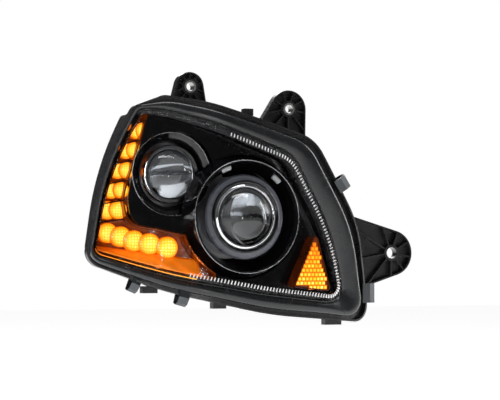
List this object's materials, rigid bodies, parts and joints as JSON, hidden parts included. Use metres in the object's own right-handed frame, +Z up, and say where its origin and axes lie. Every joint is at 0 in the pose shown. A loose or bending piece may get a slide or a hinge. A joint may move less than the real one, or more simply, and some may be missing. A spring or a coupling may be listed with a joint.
{
  "type": "car headlight assembly",
  "caption": "Truck headlight with high- and low-beam projectors, L-shaped amber signal, side marker, clear cover, ribbed mounting ears, aim screw and twist-off rear caps.",
  "frame": {"origin": "centre of the upper left ear's sleeved bore", "axes": "+Z up, the lamp shines towards -Y, +X to the right of someone facing the lamp; the ears' bores run along Y"},
  "size_m": [0.46, 0.205, 0.3305],
  "materials": {
    "housing_plastic": "moulded satin black",
    "clear_lens": "clear polycarbonate",
    "seal_rubber": "satin rubber",
    "sleeve_steel": "plated",
    "clip_steel": "grey coated spring steel",
    "gloss_black": "gloss black",
    "satin_grey": "satin grey",
    "cast_metal": "die cast",
    "chrome": "bright",
    "projector_glass": "clear glass",
    "bulb_glass": "quartz",
    "base_plastic": "moulded",
    "amber_optic": "amber, lit",
    "amber_tray": "dark, lit amber",
    "board_green": "coated board",
    "chip_yellow": "light chip",
    "plated_steel": "zinc plated",
    "white_plastic": "natural nylon",
    "driver_alloy": "finned"
  },
  "bodies": {
    "lamp_body": {"breather_caps": "base_plastic", "ear_sleeves": "sleeve_steel", "electrical_inlet": "base_plastic", "high_beam_surround": "gloss_black", "housing": "housing_plastic", "inlet_blades": "plated_steel", "inner_bezel": "gloss_black", "lens_clips": "clip_steel", "lens_cover": "clear_lens", "low_beam_shroud": "gloss_black", "pivot_bracket_left": "white_plastic", "pivot_bracket_right": "white_plastic", "rim_seal": "seal_rubber", "side_marker_board": "board_green", "side_marker_housing": "amber_tray", "side_marker_leds": "chip_yellow", "side_marker_reflector": "amber_optic", "signal_driver": "driver_alloy", "turn_signal_board": "board_green", "turn_signal_leds": "chip_yellow", "turn_signal_optic": "amber_optic", "turn_signal_reflector": "amber_tray"},
    "aim_carrier": {"aim_carrier": "plated_steel", "low_beam_lens": "projector_glass", "low_beam_lens_holder": "cast_metal", "low_beam_trim_ring": "satin_grey", "low_beam_reflector": "chrome", "cutoff_shield": "plated_steel", "high_beam_lens": "projector_glass", "high_beam_lens_holder": "cast_metal", "high_beam_trim_ring": "chrome", "high_beam_reflector": "chrome"},
    "aim_screw": {"aim_screw": "plated_steel", "aim_knob": "white_plastic"},
    "low_bulb": {"low_bulb_capsule": "bulb_glass", "low_bulb_base": "base_plastic"},
    "high_bulb": {"high_bulb_capsule": "bulb_glass", "high_bulb_base": "base_plastic"},
    "rear_cap_low": {"rear_cap_low": "base_plastic", "rear_cap_low_seal": "seal_rubber"},
    "rear_cap_high": {"rear_cap_high": "base_plastic", "rear_cap_high_seal": "seal_rubber"}
  },
  "joints": [
    {"name": "aim_tilt", "type": "hinge", "parent": "lamp_body", "child": "aim_carrier", "pos_m": [0.021, 0.0145, -0.148], "axis": [1, 0, 0], "range_deg": [-2.5, 2.5]},
    {"name": "aim_screw_turn", "type": "hinge", "parent": "lamp_body", "child": "aim_screw", "pos_m": [-0.034, 0.068, -0.205], "axis": [0, 1, 0], "range_deg": [-720, 720]},
    {"name": "low_bulb_twist", "type": "hinge", "parent": "aim_carrier", "child": "low_bulb", "pos_m": [0.061, 0.068, -0.17], "axis": [0, 1, 0], "range_deg": [0, 30]},
    {"name": "high_bulb_twist", "type": "hinge", "parent": "aim_carrier", "child": "high_bulb", "pos_m": [-0.031, 0.068, -0.1154], "axis": [0, 1, 0], "range_deg": [0, 30]},
    {"name": "low_cap_twist", "type": "hinge", "parent": "lamp_body", "child": "rear_cap_low", "pos_m": [0.061, 0.108, -0.17], "axis": [0, 1, 0], "range_deg": [0, 45]},
    {"name": "high_cap_twist", "type": "hinge", "parent": "lamp_body", "child": "rear_cap_high", "pos_m": [-0.031, 0.108, -0.1154], "axis": [0, 1, 0], "range_deg": [0, 45]}
  ],
  "couplings": [
    {"joint": "aim_screw_turn", "follows": "aim_tilt", "ratio": -286.5}
  ]
}
